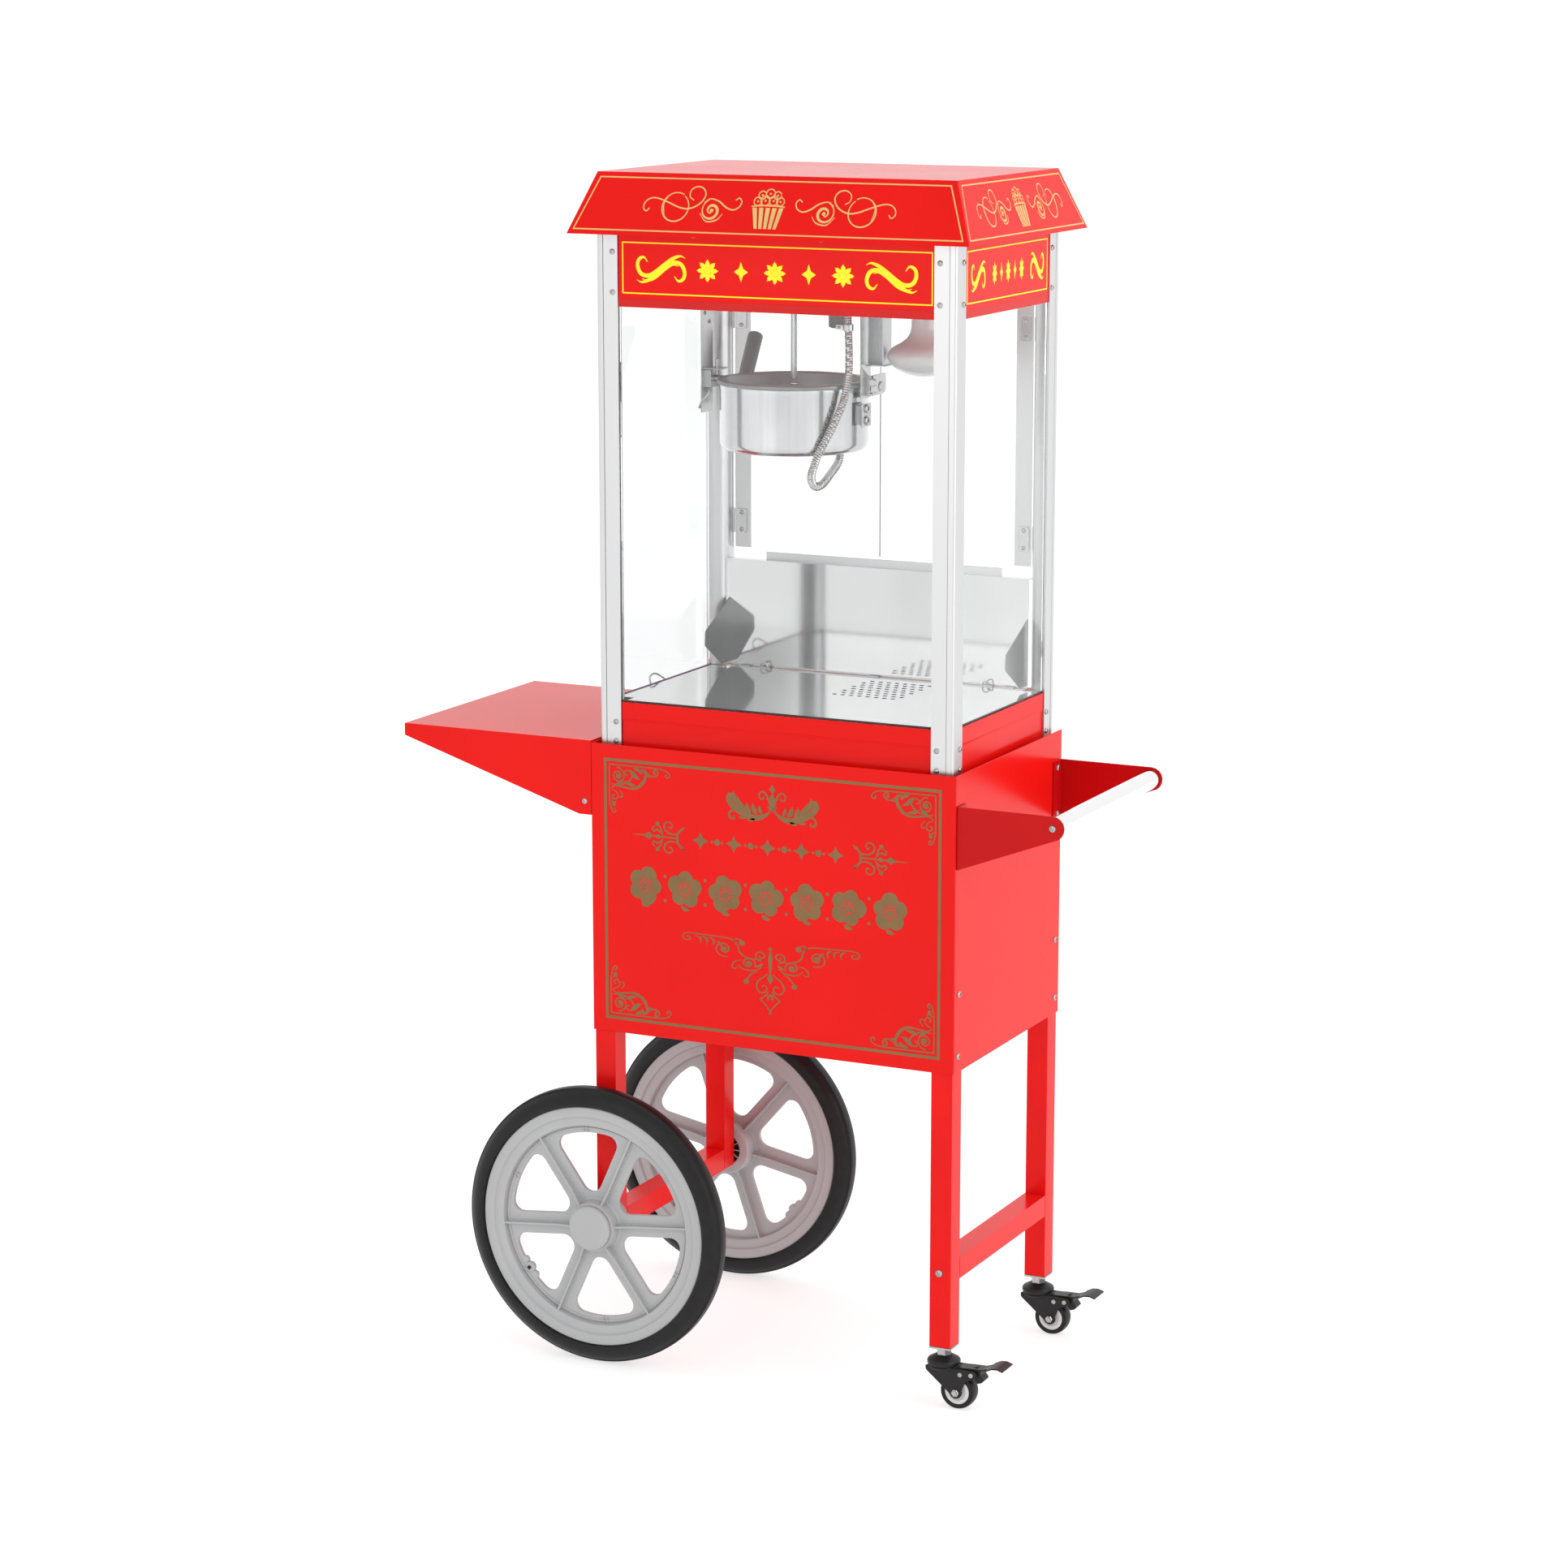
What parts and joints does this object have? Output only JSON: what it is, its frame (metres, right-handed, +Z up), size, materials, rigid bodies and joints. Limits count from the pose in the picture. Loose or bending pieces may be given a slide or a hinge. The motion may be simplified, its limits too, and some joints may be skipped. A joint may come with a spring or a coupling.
{
  "type": "popcorn cart",
  "caption": "Red glass-sided popcorn machine on a cupboard cart, with a tipping kettle, a side shelf, a push handle, big spoked wheels and braked casters.",
  "frame": {"origin": "on the floor at the middle of the whole cart's plan, shelf and handle included", "axes": "+X towards the push handle, +Y towards the operator's side with the doors, +Z up"},
  "size_m": [0.933, 0.449, 1.55],
  "materials": {
    "red_panel": "gloss",
    "red_leg": "gloss",
    "red_machine": "gloss",
    "satin_post": "satin",
    "clear_glass": "gloss",
    "clear_door": "gloss",
    "mirror_steel": "gloss",
    "polished_pot": "gloss",
    "black_grip": "satin",
    "bright_steel": "satin",
    "cable_grey": "satin",
    "lamp_white": "frosted",
    "motor_grey": "satin",
    "black_plastic": "satin",
    "caster_grey": "matte",
    "zinc": "satin",
    "tyre_black": "matte",
    "wheel_grey": "satin",
    "handle_chrome": "mirror",
    "arm_red": "gloss"
  },
  "bodies": {
    "cart": {"axle_beam": "red_leg", "cabinet_floor": "red_panel", "cabinet_tray": "mirror_steel", "cart_deck": "red_panel", "cart_front_panel": "red_panel", "cart_left_panel": "red_panel", "cart_rear_frame": "red_panel", "cart_right_panel": "red_panel", "caster_stem_front": "zinc", "caster_stem_rear": "zinc", "control_panel": "red_machine", "gear_motor": "motor_grey", "glass_front": "clear_glass", "glass_left": "clear_glass", "glass_right": "clear_glass", "handle_arm_front": "arm_red", "handle_arm_rear": "arm_red", "handle_tube": "handle_chrome", "hanger_left": "bright_steel", "hanger_right": "bright_steel", "kettle_cable": "cable_grey", "lamp_bulb": "lamp_white", "leg_crossbar": "red_leg", "leg_front_left": "red_leg", "leg_front_right": "red_leg", "leg_rear_left": "red_leg", "leg_rear_right": "red_leg", "machine_base": "red_machine", "post_front_left": "satin_post", "post_front_right": "satin_post", "post_rear_left": "satin_post", "post_rear_right": "satin_post", "roof": "red_machine", "side_shelf": "red_panel", "top_box": "red_machine", "wheel_axle": "zinc"},
    "big_wheel_front": {"wheel_front": "wheel_grey", "tyre_front": "tyre_black", "hub_cap_front": "wheel_grey"},
    "big_wheel_rear": {"wheel_rear": "wheel_grey", "tyre_rear": "tyre_black", "hub_cap_rear": "wheel_grey"},
    "caster_front": {"caster_fork_front": "black_plastic"},
    "caster_rear": {"caster_fork_rear": "black_plastic"},
    "caster_front_wheel": {"caster_wheel_front": "caster_grey"},
    "caster_rear_wheel": {"caster_wheel_rear": "caster_grey"},
    "brake_front": {"caster_brake_front": "black_plastic"},
    "brake_rear": {"caster_brake_rear": "black_plastic"},
    "storage_door": {"cabinet_door": "red_panel"},
    "left_door": {"door_left": "clear_door"},
    "right_door": {"door_right": "clear_door"},
    "flap": {"serving_flap": "mirror_steel"},
    "drawer": {"kernel_drawer": "mirror_steel"},
    "kettle": {"kettle_pot": "polished_pot", "kettle_handle": "black_grip"},
    "stir_arm": {"stirrer": "bright_steel"},
    "drive": {"drive_shaft": "bright_steel"},
    "heat_switch": {"switch_heat": "black_plastic"},
    "lamp_switch": {"switch_lamp": "black_plastic"},
    "motor_switch": {"switch_motor": "black_plastic"}
  },
  "joints": [
    {"name": "front_wheel_spin", "type": "hinge", "parent": "cart", "child": "big_wheel_front", "pos_m": [-0.1712, -0.2, 0.186], "axis": [0, 1, 0], "continuous": true},
    {"name": "rear_wheel_spin", "type": "hinge", "parent": "cart", "child": "big_wheel_rear", "pos_m": [-0.1712, 0.2, 0.186], "axis": [0, 1, 0], "continuous": true},
    {"name": "front_caster_swivel", "type": "hinge", "parent": "cart", "child": "caster_front", "pos_m": [0.3072, -0.1577, 0.079], "axis": [0, 0, 1], "continuous": true},
    {"name": "front_caster_spin", "type": "hinge", "parent": "caster_front", "child": "caster_front_wheel", "pos_m": [0.3292, -0.1577, 0.0235], "axis": [0, 1, 0], "continuous": true},
    {"name": "front_brake_pedal", "type": "hinge", "parent": "caster_front", "child": "brake_front", "pos_m": [0.3372, -0.1577, 0.0485], "axis": [0, 1, 0], "range_deg": [0, 12]},
    {"name": "rear_caster_swivel", "type": "hinge", "parent": "cart", "child": "caster_rear", "pos_m": [0.3072, 0.1577, 0.079], "axis": [0, 0, 1], "continuous": true},
    {"name": "rear_caster_spin", "type": "hinge", "parent": "caster_rear", "child": "caster_rear_wheel", "pos_m": [0.3292, 0.1577, 0.0235], "axis": [0, 1, 0], "continuous": true},
    {"name": "rear_brake_pedal", "type": "hinge", "parent": "caster_rear", "child": "brake_rear", "pos_m": [0.3372, 0.1577, 0.0485], "axis": [0, 1, 0], "range_deg": [0, 12]},
    {"name": "storage_door_hinge", "type": "hinge", "parent": "cart", "child": "storage_door", "pos_m": [-0.138, 0.1763, 0.62], "axis": [0, 0, 1], "range_deg": [0, 110]},
    {"name": "left_door_hinge", "type": "hinge", "parent": "cart", "child": "left_door", "pos_m": [-0.148, 0.1632, 1.2], "axis": [0, 0, 1], "range_deg": [0, 100]},
    {"name": "right_door_hinge", "type": "hinge", "parent": "cart", "child": "right_door", "pos_m": [0.284, 0.1632, 1.2], "axis": [0, 0, -1], "range_deg": [0, 100]},
    {"name": "flap_tip", "type": "hinge", "parent": "cart", "child": "flap", "pos_m": [0.068, 0.1456, 0.881], "axis": [-1, 0, 0], "range_deg": [0, 50]},
    {"name": "drawer_slide", "type": "slide", "parent": "cart", "child": "drawer", "axis": [0, 1, 0], "range_m": [0, 0.12]},
    {"name": "kettle_tip", "type": "hinge", "parent": "cart", "child": "kettle", "pos_m": [0.019, 0, 1.28], "axis": [-1, 0, 0], "range_deg": [0, 70], "deforming": ["kettle_cable"]},
    {"name": "stirrer_spin", "type": "hinge", "parent": "kettle", "child": "stir_arm", "pos_m": [0.019, 0, 1.21], "axis": [0, 0, 1], "continuous": true},
    {"name": "drive_spin", "type": "hinge", "parent": "cart", "child": "drive", "pos_m": [0.019, 0, 1.33], "axis": [0, 0, 1], "continuous": true},
    {"name": "heat_switch_rock", "type": "hinge", "parent": "cart", "child": "heat_switch", "pos_m": [0.013, 0.159, 1.43], "axis": [-1, 0, 0], "range_deg": [0, 16]},
    {"name": "motor_switch_rock", "type": "hinge", "parent": "cart", "child": "motor_switch", "pos_m": [0.068, 0.159, 1.43], "axis": [-1, 0, 0], "range_deg": [0, 16]},
    {"name": "lamp_switch_rock", "type": "hinge", "parent": "cart", "child": "lamp_switch", "pos_m": [0.123, 0.159, 1.43], "axis": [-1, 0, 0], "range_deg": [0, 16]}
  ],
  "couplings": [
    {"joint": "drive_spin", "follows": "stirrer_spin", "ratio": 1}
  ]
}
